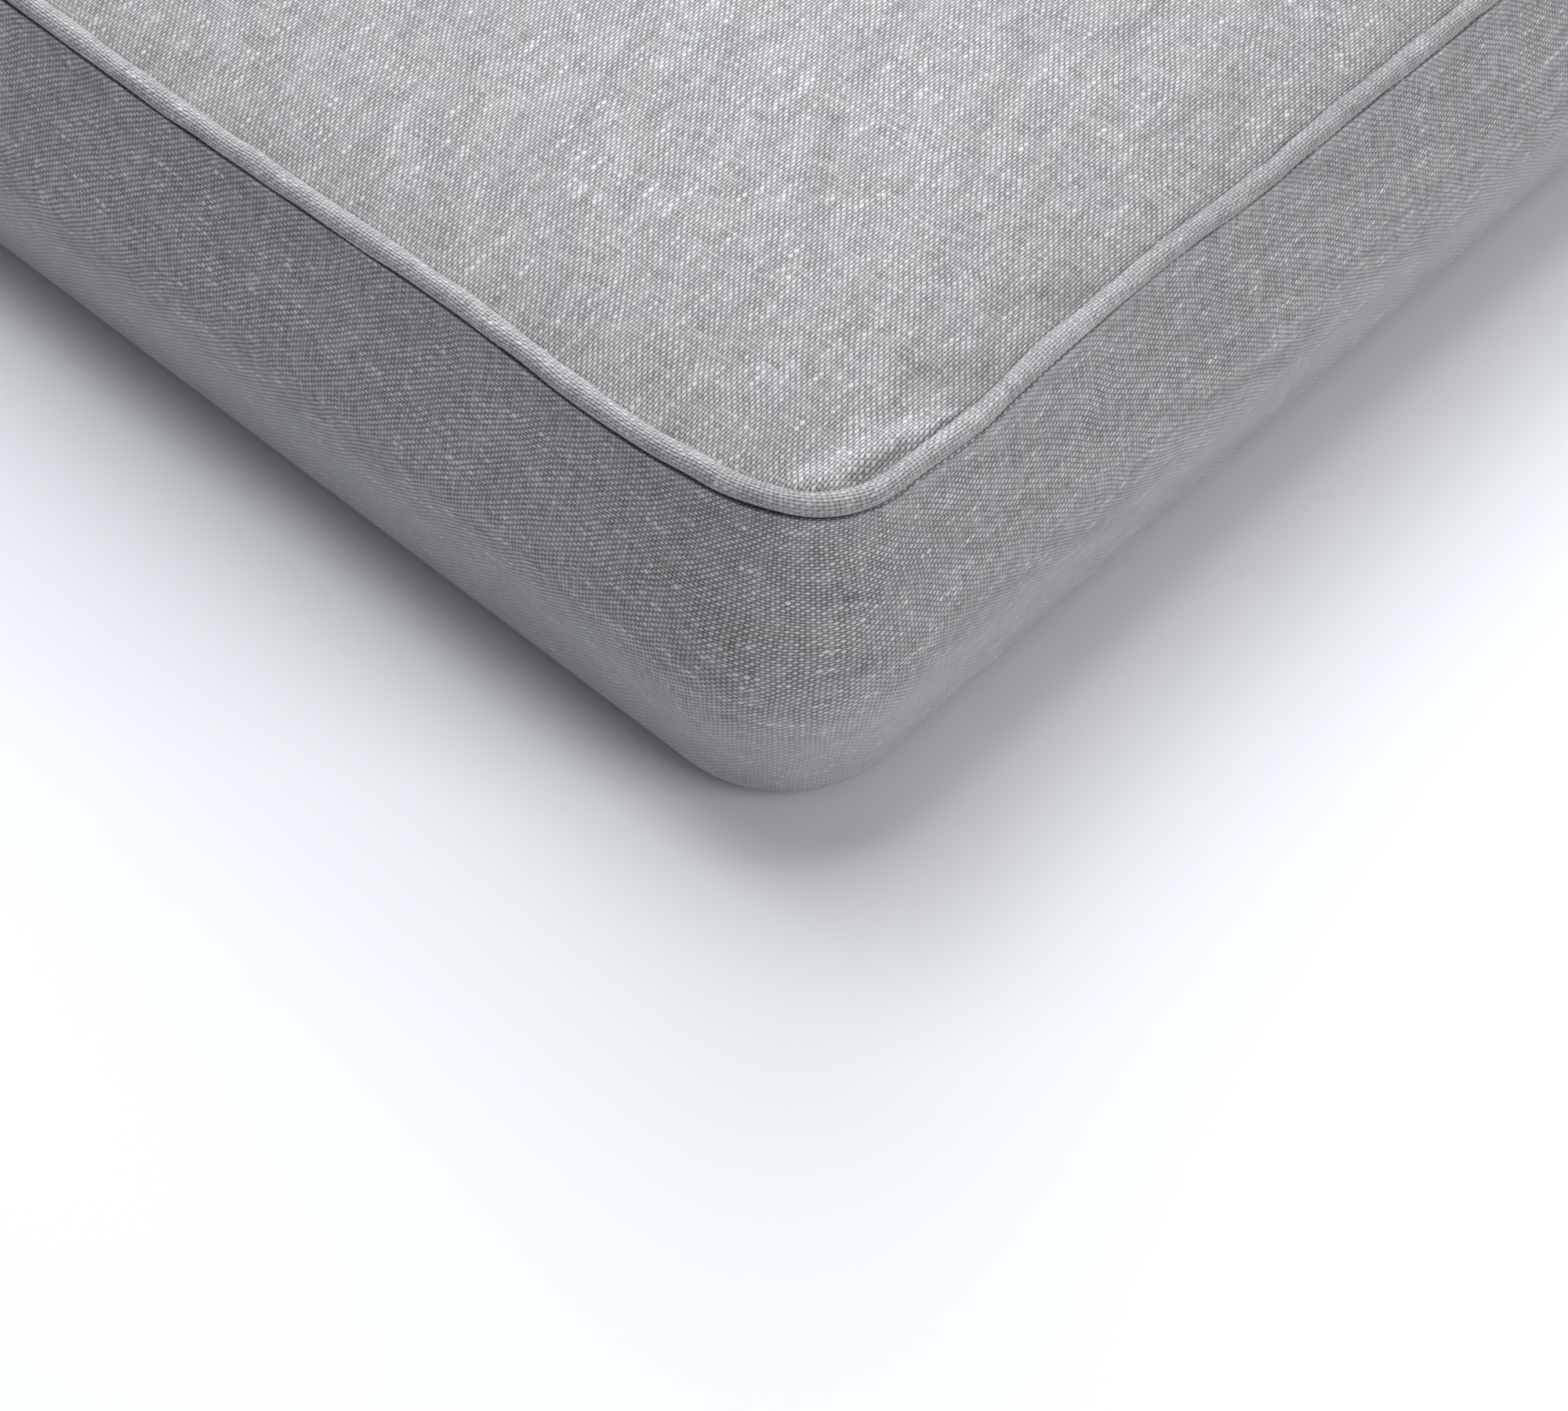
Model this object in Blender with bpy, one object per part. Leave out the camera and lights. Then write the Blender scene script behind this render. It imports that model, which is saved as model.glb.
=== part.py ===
"""Fitted linen cover for a daybed, on the plain mattress that it fits.

The cover is a flat top panel, one boxing strip that runs round the four rounded
corners and turns under as a hem, and a welt sewn into the seam between the two.
The long side lies along X. The corner at low X and low Y is the one with the
main puckers. Stations are metres along the seam, from the middle of that corner,
anticlockwise seen from above.
"""

import math

import bpy
import numpy as np

# Driving dimensions in metres
COVER_LENGTH = 1.905
COVER_WIDTH = 0.990
SEAM_HEIGHT = 0.124
CORNER_RADIUS = 0.036
CLOTH = 0.002
GAP = 0.0003

WELT_RADIUS = 0.0033
WELT_SIDES = 10

BULGE_OUT = 0.0144
BREAK_DEPTH = 0.059
LEAN_IN = 0.0095
ROLL_RADIUS = 0.012
HEM_WIDTH = 0.024

CROWN_RISE = 0.0075
CROWN_REACH = 0.300
SHOULDER_RISE = 0.0022
SHOULDER_REACH = 0.010
PANEL_EDGE_DROP = 0.0006
BREAK_SOFTNESS = 0.006

# How far inside the cloth the mattress stays: along its sides, on top where the cloth
# may be hollow, and at its own soft top edge
SIDE_HOLLOW = 0.0022
TOP_HOLLOW = 0.0016
TOP_HOLLOW_REACH = 0.060
MATTRESS_EDGE = 0.0016
MATTRESS_EDGE_REACH = 0.020
MATTRESS_SHOULDER = 0.012

# Steps of the meshes
FINE_STEP = 0.011
CORNER_STEP = 0.016
LONG_STEP = 0.110
FINE_REACH = 0.150
CORNER_REACH = 0.075

CLOTH_COLOUR = (0.49, 0.485, 0.475, 1.0)
WELT_COLOUR = (0.53, 0.525, 0.515, 1.0)
FOAM_COLOUR = (0.80, 0.78, 0.72, 1.0)

# The seam line's half sizes: the boxing bulges past it all round
HALF_X = COVER_LENGTH / 2 - BULGE_OUT
HALF_Y = COVER_WIDTH / 2 - BULGE_OUT
ARC = CORNER_RADIUS * math.pi / 2
LONG_RUN = 2 * (HALF_X - CORNER_RADIUS)
SHORT_RUN = 2 * (HALF_Y - CORNER_RADIUS)
PERIMETER = 4 * ARC + 2 * LONG_RUN + 2 * SHORT_RUN

# Where the middles of the four corners lie along the seam
CORNER_STATIONS = (
    0.0,
    ARC + LONG_RUN,
    2 * ARC + LONG_RUN + SHORT_RUN,
    3 * ARC + 2 * LONG_RUN + SHORT_RUN,
)

# Where the welt strays from its line: the corner it is near and the way past that
# corner's middle, the reach along the seam, the outward shift and the lift
SEAM_STRAYS = (
    {"corner": 0, "past": -0.240, "reach": 0.030, "out": 0.0006, "lift": -0.0003},
    {"corner": 0, "past": -0.120, "reach": 0.026, "out": -0.0009, "lift": 0.0004},
    {"corner": 0, "past": -0.070, "reach": 0.022, "out": 0.0006, "lift": -0.0003},
    {"corner": 0, "past": -0.024, "reach": 0.013, "out": -0.0018, "lift": 0.0008},
    {"corner": 0, "past": -0.006, "reach": 0.012, "out": -0.0008, "lift": 0.0004},
    {"corner": 0, "past": 0.012, "reach": 0.012, "out": 0.0008, "lift": -0.0004},
    {"corner": 0, "past": 0.057, "reach": 0.017, "out": 0.0016, "lift": -0.0007},
    {"corner": 0, "past": 0.088, "reach": 0.012, "out": -0.0004, "lift": 0.0002},
    {"corner": 0, "past": 0.145, "reach": 0.026, "out": -0.0011, "lift": 0.0005},
    {"corner": 0, "past": 0.182, "reach": 0.022, "out": 0.0008, "lift": -0.0004},
    {"corner": 0, "past": 0.215, "reach": 0.024, "out": -0.0005, "lift": 0.0002},
    {"corner": 1, "past": -0.070, "reach": 0.030, "out": 0.0020, "lift": -0.0012},
    {"corner": 1, "past": 0.130, "reach": 0.040, "out": 0.0010, "lift": 0.0005},
    {"corner": 2, "past": 0.062, "reach": 0.032, "out": 0.0022, "lift": -0.0014},
    {"corner": 2, "past": -0.110, "reach": 0.036, "out": 0.0008, "lift": -0.0005},
    {"corner": 3, "past": -0.080, "reach": 0.034, "out": 0.0018, "lift": -0.0012},
    {"corner": 3, "past": 0.055, "reach": 0.026, "out": 0.0012, "lift": 0.0006},
)

# Creases of the top panel, each a soft ridge between two points, which are given from
# the corner of the seam's straight lines as (along the long side, along the short side)
TOP_CREASES = (
    {"corner": 0, "start": (0.014, 0.016), "end": (0.030, 0.013), "rise": 0.0026, "width": 0.0044},
    {"corner": 0, "start": (0.029, 0.013), "end": (0.042, 0.012), "rise": 0.0030, "width": 0.0042},
    {"corner": 0, "start": (0.041, 0.012), "end": (0.054, 0.006), "rise": 0.0022, "width": 0.0040},
    {"corner": 0, "start": (0.032, 0.004), "end": (0.048, 0.002), "rise": -0.0015, "width": 0.0036},
    {"corner": 0, "start": (0.064, 0.022), "end": (0.082, 0.010), "rise": 0.0014, "width": 0.0060},
    {"corner": 0, "start": (0.102, 0.024), "end": (0.120, 0.012), "rise": 0.0015, "width": 0.0060},
    {"corner": 0, "start": (0.189, 0.032), "end": (0.210, 0.028), "rise": 0.0010, "width": 0.0050},
    {"corner": 0, "start": (0.202, 0.068), "end": (0.228, 0.063), "rise": 0.0009, "width": 0.0080},
    {"corner": 1, "start": (0.024, 0.022), "end": (0.050, 0.020), "rise": 0.0022, "width": 0.0056},
    {"corner": 1, "start": (0.048, 0.020), "end": (0.072, 0.008), "rise": 0.0024, "width": 0.0052},
    {"corner": 1, "start": (0.100, 0.030), "end": (0.124, 0.012), "rise": 0.0014, "width": 0.0070},
    {"corner": 2, "start": (0.022, 0.026), "end": (0.018, 0.052), "rise": 0.0024, "width": 0.0054},
    {"corner": 2, "start": (0.018, 0.050), "end": (0.008, 0.074), "rise": 0.0022, "width": 0.0050},
    {"corner": 2, "start": (0.030, 0.112), "end": (0.013, 0.136), "rise": 0.0013, "width": 0.0065},
    {"corner": 3, "start": (0.024, 0.024), "end": (0.052, 0.016), "rise": 0.0023, "width": 0.0056},
    {"corner": 3, "start": (0.076, 0.022), "end": (0.098, 0.008), "rise": 0.0016, "width": 0.0056},
    {"corner": 3, "start": (0.020, 0.086), "end": (0.010, 0.108), "rise": 0.0013, "width": 0.0060},
)

# Hollows of the boxing: the way past a corner's middle, the depth below the seam, the
# reaches along and down, the depth pressed in, and the lean along the seam for each
# metre down
SIDE_HOLLOWS = (
    {"corner": 0, "past": 0.075, "down": 0.085, "along": 0.030, "tall": 0.020, "deep": 0.0016, "lean": 0.5},
    {"corner": 0, "past": 0.165, "down": 0.042, "along": 0.026, "tall": 0.028, "deep": 0.0012, "lean": 0.7},
    {"corner": 0, "past": 0.255, "down": 0.074, "along": 0.034, "tall": 0.026, "deep": 0.0012, "lean": 0.3},
    {"corner": 0, "past": -0.085, "down": 0.092, "along": 0.040, "tall": 0.018, "deep": 0.0014, "lean": -0.4},
    {"corner": 0, "past": -0.190, "down": 0.052, "along": 0.030, "tall": 0.030, "deep": 0.0012, "lean": -0.6},
    {"corner": 1, "past": -0.080, "down": 0.062, "along": 0.026, "tall": 0.030, "deep": 0.0018, "lean": -0.5},
    {"corner": 1, "past": 0.100, "down": 0.080, "along": 0.034, "tall": 0.022, "deep": 0.0014, "lean": 0.4},
    {"corner": 2, "past": -0.090, "down": 0.074, "along": 0.030, "tall": 0.024, "deep": 0.0015, "lean": -0.4},
    {"corner": 2, "past": 0.085, "down": 0.052, "along": 0.026, "tall": 0.030, "deep": 0.0018, "lean": 0.6},
    {"corner": 3, "past": -0.070, "down": 0.068, "along": 0.030, "tall": 0.026, "deep": 0.0016, "lean": -0.5},
    {"corner": 3, "past": 0.110, "down": 0.048, "along": 0.028, "tall": 0.028, "deep": 0.0014, "lean": 0.5},
)

# Distances of the rings of the panel and of the mattress's top from their edges, how
# far in the panel's creases start and it follows the welt's lift, and the boxing's
# levels as shares of the way from the welt down to the roll
PANEL_INSETS = (0.0, 0.004, 0.0085, 0.0135, 0.019, 0.026, 0.036, 0.052, 0.085, 0.160, 0.300)
MATTRESS_INSETS = (0.300, 0.160, 0.085, 0.045, 0.026, 0.015)
CREASE_START = 0.006
FOLLOW_REACH = 0.030
BOXING_LEVELS = (0.0, 0.07, 0.17, 0.28, 0.39, 0.49, 0.58, 0.68, 0.80, 0.91, 1.0)
ROLL_TURNS = (22, 45, 68, 90)


def clear_scene():
    """Remove every object that the scene opens with."""
    for item in list(bpy.data.objects):
        bpy.data.objects.remove(item)


def material(name, colour, roughness):
    """A plain matt material."""
    finish = bpy.data.materials.new(name)
    finish.use_nodes = True
    shader = finish.node_tree.nodes["Principled BSDF"]
    shader.inputs["Base Color"].default_value = colour
    shader.inputs["Roughness"].default_value = roughness
    shader.inputs["Metallic"].default_value = 0.0
    return finish


def seam_line(station):
    """Points and outward normals of the rounded rectangle that the seam follows.

    Each stretch is half the rectangle's run: an arc is a turn about its corner's
    centre, and a straight is a point moved along its side.
    """
    s = (np.asarray(station, float) + ARC / 2) % PERIMETER
    centre_x = HALF_X - CORNER_RADIUS
    centre_y = HALF_Y - CORNER_RADIUS
    stretches = (
        ("arc", ARC, (-centre_x, -centre_y), math.pi),
        ("run", LONG_RUN, (-centre_x, -HALF_Y), -math.pi / 2),
        ("arc", ARC, (centre_x, -centre_y), -math.pi / 2),
        ("run", SHORT_RUN, (HALF_X, -centre_y), 0.0),
        ("arc", ARC, (centre_x, centre_y), 0.0),
        ("run", LONG_RUN, (centre_x, HALF_Y), math.pi / 2),
        ("arc", ARC, (-centre_x, centre_y), math.pi / 2),
        ("run", SHORT_RUN, (-HALF_X, centre_y), math.pi),
    )
    point = np.zeros(s.shape + (2,))
    normal = np.zeros(s.shape + (2,))
    begin = 0.0
    for kind, length, origin, angle in stretches:
        here = (s >= begin) & (s <= begin + length)
        along = s[here] - begin
        turn = angle + (along / CORNER_RADIUS if kind == "arc" else 0 * along)
        out = np.stack([np.cos(turn), np.sin(turn)], -1)
        if kind == "arc":
            point[here] = np.array(origin) + CORNER_RADIUS * out
        else:
            forward = np.stack([-np.sin(turn), np.cos(turn)], -1)
            point[here] = np.array(origin) + along[:, None] * forward
        normal[here] = out
        begin += length
    return point, normal


def along_seam(station, mark):
    """Signed way along the seam from a mark to stations, the shorter way round."""
    at = CORNER_STATIONS[mark["corner"]] + mark["past"]
    return (np.asarray(station) - at + PERIMETER / 2) % PERIMETER - PERIMETER / 2


def seam_strays(station):
    """Outward shift and lift of the seam: a sum of soft bumps, each a bell curve."""
    out = np.zeros(np.shape(station))
    lift = np.zeros(np.shape(station))
    for stray in SEAM_STRAYS:
        bell = np.exp(-0.5 * (along_seam(station, stray) / stray["reach"]) ** 2)
        out += stray["out"] * bell
        lift += stray["lift"] * bell
    return out, lift


def seam_points(station):
    """The welt's centre line: plan points, heights and outward normals."""
    point, normal = seam_line(station)
    out, lift = seam_strays(station)
    return point + out[:, None] * normal, SEAM_HEIGHT + lift, normal


def stations():
    """Stations round the seam: close together near the corners, far apart between."""
    marks = []
    for number, corner in enumerate(CORNER_STATIONS):
        step = FINE_STEP if number == 0 else CORNER_STEP
        reach = FINE_REACH if number == 0 else CORNER_REACH
        half = round(reach / step)
        marks.append(corner + step * np.arange(-half, half + 1))
    joined = []
    for number, group in enumerate(marks):
        following = marks[(number + 1) % 4] + (PERIMETER if number == 3 else 0.0)
        span = following[0] - group[-1]
        count = max(2, round(span / LONG_STEP))
        between = group[-1] + span * np.arange(1, count) / count
        joined.extend((group, between))
    return np.concatenate(joined) % PERIMETER


def crease_height(x, y):
    """Height of the top panel's creases: each is a bell across a line, faded at its ends."""
    height = np.zeros(np.shape(x))
    signs = ((-1, -1), (1, -1), (1, 1), (-1, 1))
    for crease in TOP_CREASES:
        sign_x, sign_y = signs[crease["corner"]]
        start, end = (
            np.array([sign_x * (HALF_X - point[0]), sign_y * (HALF_Y - point[1])])
            for point in (crease["start"], crease["end"])
        )
        line = end - start
        share = ((x - start[0]) * line[0] + (y - start[1]) * line[1]) / (line @ line)
        near = np.clip(share, 0.0, 1.0)
        away = np.hypot(x - start[0] - near * line[0], y - start[1] - near * line[1])
        height += crease["rise"] * np.exp(-0.5 * (away / crease["width"]) ** 2)
    return height


def side_hollows(station, down):
    """Depth of the boxing's hollows: bells in station and depth, sheared along the seam."""
    deep = np.zeros(np.broadcast(station, down).shape)
    for hollow in SIDE_HOLLOWS:
        lower = down - hollow["down"]
        along = along_seam(station, hollow) - hollow["lean"] * lower
        reach = (along / hollow["along"]) ** 2 + (lower / hollow["tall"]) ** 2
        deep += hollow["deep"] * np.exp(-0.5 * reach)
    return np.minimum(deep, SIDE_HOLLOW - GAP)


def side_lean(down):
    """Outward offset of the side below the seam: it leans out to the break, then in.

    Two straight leans are joined by a soft break, a softplus of the depth.
    """
    out_slope = BULGE_OUT / BREAK_DEPTH
    foot = SEAM_HEIGHT - ROLL_RADIUS
    in_slope = LEAN_IN / (foot - BREAK_DEPTH)
    past = BREAK_SOFTNESS * np.logaddexp(0.0, (down - BREAK_DEPTH) / BREAK_SOFTNESS)
    peak = BREAK_SOFTNESS * math.log(2.0) * (out_slope + in_slope)
    scale = BULGE_OUT / (BULGE_OUT - peak)
    return scale * (out_slope * down - (out_slope + in_slope) * past)


def side_profile():
    """The boxing's outer face as depth below the seam and outward offset, top to hem."""
    foot = SEAM_HEIGHT - ROLL_RADIUS
    top = WELT_RADIUS + GAP
    down = top + (foot - top) * np.array(BOXING_LEVELS)
    out = side_lean(down)
    turns = np.radians(ROLL_TURNS)
    down = np.append(down, foot + ROLL_RADIUS * np.sin(turns))
    out = np.append(out, out[-1] - ROLL_RADIUS * (1 - np.cos(turns)))
    down = np.append(down, [SEAM_HEIGHT, SEAM_HEIGHT])
    out = np.append(out, [out[-1] - 0.5 * HEM_WIDTH, out[-1] - HEM_WIDTH])
    return down, out


def inner_profile(down, out):
    """The profile of the boxing's inner face: one cloth inwards, square to the outer."""
    along_down = np.gradient(down)
    along_out = np.gradient(out)
    length = np.hypot(along_down, along_out)
    return down + CLOTH * along_out / length, out - CLOTH * along_down / length


def ring_mesh(name, rings, closed_profile, finish, collection):
    """A mesh lofted through rings of points: rings[level, station, xyz].

    A closed profile joins the last ring to the first, and an open one is capped.
    """
    levels, count = rings.shape[:2]
    level = np.arange(levels if closed_profile else levels - 1)[:, None]
    here = np.arange(count)[None, :]
    after = (here + 1) % count
    above = (level + 1) % levels
    quads = np.stack(
        [level * count + here, above * count + here, above * count + after, level * count + after],
        -1,
    ).reshape(-1, 4)
    faces = quads.tolist()
    if not closed_profile:
        faces.append(list(range(count)))
        faces.append(list(range((levels - 1) * count, levels * count))[::-1])
    mesh = bpy.data.meshes.new(name)
    mesh.from_pydata(rings.reshape(-1, 3).tolist(), [], faces)
    mesh.update()
    item = bpy.data.objects.new(name, mesh)
    item.data.materials.append(finish)
    collection.objects.link(item)
    mesh.shade_smooth()
    mesh.set_sharp_from_angle(angle=math.radians(50))
    return item


def rings_from(point, normal, offset, height):
    """Rings of points: plan points moved out along their normals, at their heights.

    offset and height are arrays of levels by stations, or by 1.
    """
    plan = point + offset[..., None] * normal
    height = np.broadcast_to(height, plan.shape[:-1])
    return np.concatenate([plan, height[..., None]], -1)


def boxing(marks, finish, collection):
    """The boxing: its outer face, roll and hem, and the same face one cloth inwards.

    The seam's strays fade from the welt down to the break.
    """
    stray_out, stray_lift = seam_strays(marks)
    line, normal = seam_line(marks)
    outer = side_profile()
    inner = inner_profile(*outer)
    faces = []
    for down, out in (outer, inner):
        down = down[:, None]
        fade = np.clip(1.0 - down / BREAK_DEPTH, 0.0, 1.0)
        flat = np.clip((SEAM_HEIGHT - ROLL_RADIUS - down) / ROLL_RADIUS, 0.0, 1.0)
        hollow = side_hollows(marks[None], down) * flat
        offset = out[:, None] + fade * stray_out - hollow
        faces.append(rings_from(line, normal, offset, SEAM_HEIGHT - down + fade * stray_lift))
    rings = np.concatenate([faces[0], faces[1][::-1]])
    return ring_mesh("boxing", rings, True, finish, collection)


def welt(marks, finish, collection):
    """The welt: a round cord in its cloth, closed on itself along the whole seam."""
    point, height, normal = seam_points(marks)
    turn = 2 * math.pi * np.arange(WELT_SIDES)[:, None] / WELT_SIDES
    rings = rings_from(
        point, normal, WELT_RADIUS * np.cos(turn), height - WELT_RADIUS * np.sin(turn)
    )
    return ring_mesh("welt", rings, True, finish, collection)


def towards_spine(point, inset):
    """Rings of plan points moved in from an outline by the insets.

    They move towards the spine, the line from which all four sides are equally far.
    """
    spine_reach = HALF_X - HALF_Y
    spine = np.stack([np.clip(point[:, 0], -spine_reach, spine_reach), 0 * point[:, 1]], -1)
    return point + (inset / HALF_Y)[..., None] * (spine - point)


def panel_rise(inset):
    """Height of the top panel's face above the seam: a soft shoulder, then the crown."""
    shoulder = SHOULDER_RISE * (1 - np.exp(-inset / SHOULDER_REACH))
    share = np.clip(inset / CROWN_REACH, 0.0, 1.0)
    crown = CROWN_RISE * np.sin(0.5 * math.pi * share) ** 1.2
    return shoulder + crown - PANEL_EDGE_DROP


def top_panel(marks, finish, collection):
    """The top panel: its face and the same face one cloth lower, closed at the edge.

    Its edge meets the welt and follows it, and its creases start a little way in.
    """
    point, height, normal = seam_points(marks)
    edge = point - (WELT_RADIUS + GAP) * normal
    inset = np.array(PANEL_INSETS)[:, None]
    plan = towards_spine(edge, inset)
    follow = np.exp(-inset / FOLLOW_REACH)
    start = np.clip(inset / CREASE_START, 0.0, 1.0)
    crease = start * crease_height(plan[..., 0], plan[..., 1])
    rise = SEAM_HEIGHT + follow * (height - SEAM_HEIGHT) + panel_rise(inset) + crease
    face = np.concatenate([plan, rise[..., None]], -1)
    back = face - np.array([0.0, 0.0, CLOTH])
    rings = np.concatenate([face[::-1], back])
    return ring_mesh("top_panel", rings, False, finish, collection)


def mattress(marks, finish, collection):
    """The plain mattress: it fills the cover, a hollow's depth inside the cloth.

    Its underside has a shallow step all round that the hem lies in.
    """
    line, normal = seam_line(marks)
    inset = np.array(MATTRESS_INSETS)[:, None]
    settle = TOP_HOLLOW * np.exp(-inset / TOP_HOLLOW_REACH)
    settle = settle + MATTRESS_EDGE * np.exp(-inset / MATTRESS_EDGE_REACH)
    plan = towards_spine(line, inset)
    height = SEAM_HEIGHT + panel_rise(inset) - CLOTH - GAP - settle
    height = np.broadcast_to(height, plan.shape[:-1])
    top = np.concatenate([plan, height[..., None]], -1)

    down, out = side_profile()
    foot = SEAM_HEIGHT - ROLL_RADIUS
    side = (down > MATTRESS_SHOULDER) & (down <= foot)
    clear = CLOTH + SIDE_HOLLOW + GAP
    turn = np.radians(ROLL_TURNS)
    roll_centre = out[down <= foot][-1] - ROLL_RADIUS
    hem_end = roll_centre - HEM_WIDTH - GAP
    recess = CLOTH + GAP
    roll_down = foot + (ROLL_RADIUS - recess) * np.sin(turn)
    roll_out = roll_centre + (ROLL_RADIUS - clear) * np.cos(turn)
    depth = np.concatenate([down[side], roll_down, [SEAM_HEIGHT - recess, SEAM_HEIGHT]])
    offset = np.concatenate([out[side] - clear, roll_out, [hem_end, hem_end]])
    sides = rings_from(line, normal, offset[:, None], SEAM_HEIGHT - depth[:, None])
    return ring_mesh("mattress", np.concatenate([top, sides]), False, finish, collection)


def main():
    clear_scene()
    collection = bpy.data.collections.new("daybed_cover")
    bpy.context.scene.collection.children.link(collection)
    linen = material("linen", CLOTH_COLOUR, 0.85)
    welt_linen = material("welt_linen", WELT_COLOUR, 0.85)
    foam = material("foam", FOAM_COLOUR, 0.90)
    marks = stations()
    mattress(marks, foam, collection)
    top_panel(marks, linen, collection)
    boxing(marks, linen, collection)
    welt(marks, welt_linen, collection)


main()
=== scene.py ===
"""Looks of the fitted linen cover on its daybed mattress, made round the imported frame.

Every cloth piece is a surface over stations along the seam. Station 0 is the middle of
the corner at low X and low Y, which the camera faces, and stations grow anticlockwise
seen from above. Lengths are in metres.
"""

import math

import bpy
import numpy as np
from bpy.props import FloatProperty, FloatVectorProperty, PointerProperty
from mathutils import Matrix, Vector


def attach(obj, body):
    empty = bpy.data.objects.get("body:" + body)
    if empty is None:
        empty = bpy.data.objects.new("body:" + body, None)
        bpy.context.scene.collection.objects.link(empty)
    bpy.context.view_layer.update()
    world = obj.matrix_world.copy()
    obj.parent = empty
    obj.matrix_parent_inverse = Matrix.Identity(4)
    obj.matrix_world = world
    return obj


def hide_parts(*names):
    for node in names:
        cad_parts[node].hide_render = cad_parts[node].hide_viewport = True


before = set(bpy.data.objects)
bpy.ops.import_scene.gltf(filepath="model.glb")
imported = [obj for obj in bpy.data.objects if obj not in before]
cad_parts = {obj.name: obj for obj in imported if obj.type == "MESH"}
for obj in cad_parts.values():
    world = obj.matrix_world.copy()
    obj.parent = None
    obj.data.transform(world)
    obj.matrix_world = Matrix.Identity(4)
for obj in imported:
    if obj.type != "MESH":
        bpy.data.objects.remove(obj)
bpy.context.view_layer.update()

bl_info = {
    "name": "Daybed cover",
    "version": (1, 0, 0),
    "blender": (4, 5, 0),
    "location": "3D View > Sidebar > Daybed cover",
    "description": "Builds a fitted, welted linen cover on its daybed mattress",
    "category": "Object",
}

# Where the welt strays from its line: the corner it is near and the way past that
# corner's middle, the reach along the seam, the outward shift and the lift
SEAM_STRAYS = (
    {"corner": 0, "past": -0.240, "reach": 0.030, "out": 0.0006, "lift": -0.0003},
    {"corner": 0, "past": -0.120, "reach": 0.026, "out": -0.0009, "lift": 0.0004},
    {"corner": 0, "past": -0.070, "reach": 0.022, "out": 0.0006, "lift": -0.0003},
    {"corner": 0, "past": -0.024, "reach": 0.013, "out": -0.0018, "lift": 0.0008},
    {"corner": 0, "past": -0.006, "reach": 0.012, "out": -0.0008, "lift": 0.0004},
    {"corner": 0, "past": 0.012, "reach": 0.012, "out": 0.0008, "lift": -0.0004},
    {"corner": 0, "past": 0.057, "reach": 0.017, "out": 0.0016, "lift": -0.0007},
    {"corner": 0, "past": 0.088, "reach": 0.012, "out": -0.0004, "lift": 0.0002},
    {"corner": 0, "past": 0.145, "reach": 0.026, "out": -0.0011, "lift": 0.0005},
    {"corner": 0, "past": 0.182, "reach": 0.022, "out": 0.0008, "lift": -0.0004},
    {"corner": 0, "past": 0.215, "reach": 0.024, "out": -0.0005, "lift": 0.0002},
    {"corner": 1, "past": -0.070, "reach": 0.030, "out": 0.0020, "lift": -0.0012},
    {"corner": 1, "past": 0.130, "reach": 0.040, "out": 0.0010, "lift": 0.0005},
    {"corner": 2, "past": 0.062, "reach": 0.032, "out": 0.0022, "lift": -0.0014},
    {"corner": 2, "past": -0.110, "reach": 0.036, "out": 0.0008, "lift": -0.0005},
    {"corner": 3, "past": -0.080, "reach": 0.034, "out": 0.0018, "lift": -0.0012},
    {"corner": 3, "past": 0.055, "reach": 0.026, "out": 0.0012, "lift": 0.0006},
)

# Creases of the top panel, each a soft ridge between two points, or a hollow where its
# rise is below zero. The points are given from where the seam's straight lines would
# meet, as (along the long side, along the short side)
TOP_CREASES = (
    {"corner": 0, "start": (0.013, 0.0140), "end": (0.029, 0.0110), "rise": 0.0020, "width": 0.0036},
    {"corner": 0, "start": (0.029, 0.0110), "end": (0.044, 0.0085), "rise": 0.0024, "width": 0.0034},
    {"corner": 0, "start": (0.044, 0.0085), "end": (0.060, 0.0020), "rise": 0.0018, "width": 0.0032},
    {"corner": 0, "start": (0.026, 0.0050), "end": (0.042, 0.0035), "rise": -0.0030, "width": 0.0028},
    {"corner": 0, "start": (0.064, 0.0200), "end": (0.082, 0.0070), "rise": -0.0010, "width": 0.0034},
    {"corner": 0, "start": (0.102, 0.0210), "end": (0.121, 0.0080), "rise": -0.0010, "width": 0.0036},
    {"corner": 0, "start": (0.189, 0.0310), "end": (0.209, 0.0280), "rise": -0.0008, "width": 0.0030},
    {"corner": 0, "start": (0.203, 0.0680), "end": (0.227, 0.0630), "rise": -0.0008, "width": 0.0034},
    {"corner": 1, "start": (0.024, 0.022), "end": (0.050, 0.020), "rise": 0.0022, "width": 0.0056},
    {"corner": 1, "start": (0.048, 0.020), "end": (0.072, 0.008), "rise": 0.0024, "width": 0.0052},
    {"corner": 1, "start": (0.100, 0.030), "end": (0.124, 0.012), "rise": 0.0014, "width": 0.0070},
    {"corner": 2, "start": (0.022, 0.026), "end": (0.018, 0.052), "rise": 0.0024, "width": 0.0054},
    {"corner": 2, "start": (0.018, 0.050), "end": (0.008, 0.074), "rise": 0.0022, "width": 0.0050},
    {"corner": 2, "start": (0.030, 0.112), "end": (0.013, 0.136), "rise": 0.0013, "width": 0.0065},
    {"corner": 3, "start": (0.024, 0.024), "end": (0.052, 0.016), "rise": 0.0023, "width": 0.0056},
    {"corner": 3, "start": (0.076, 0.022), "end": (0.098, 0.008), "rise": 0.0016, "width": 0.0056},
    {"corner": 3, "start": (0.020, 0.086), "end": (0.010, 0.108), "rise": 0.0013, "width": 0.0060},
)

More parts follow.
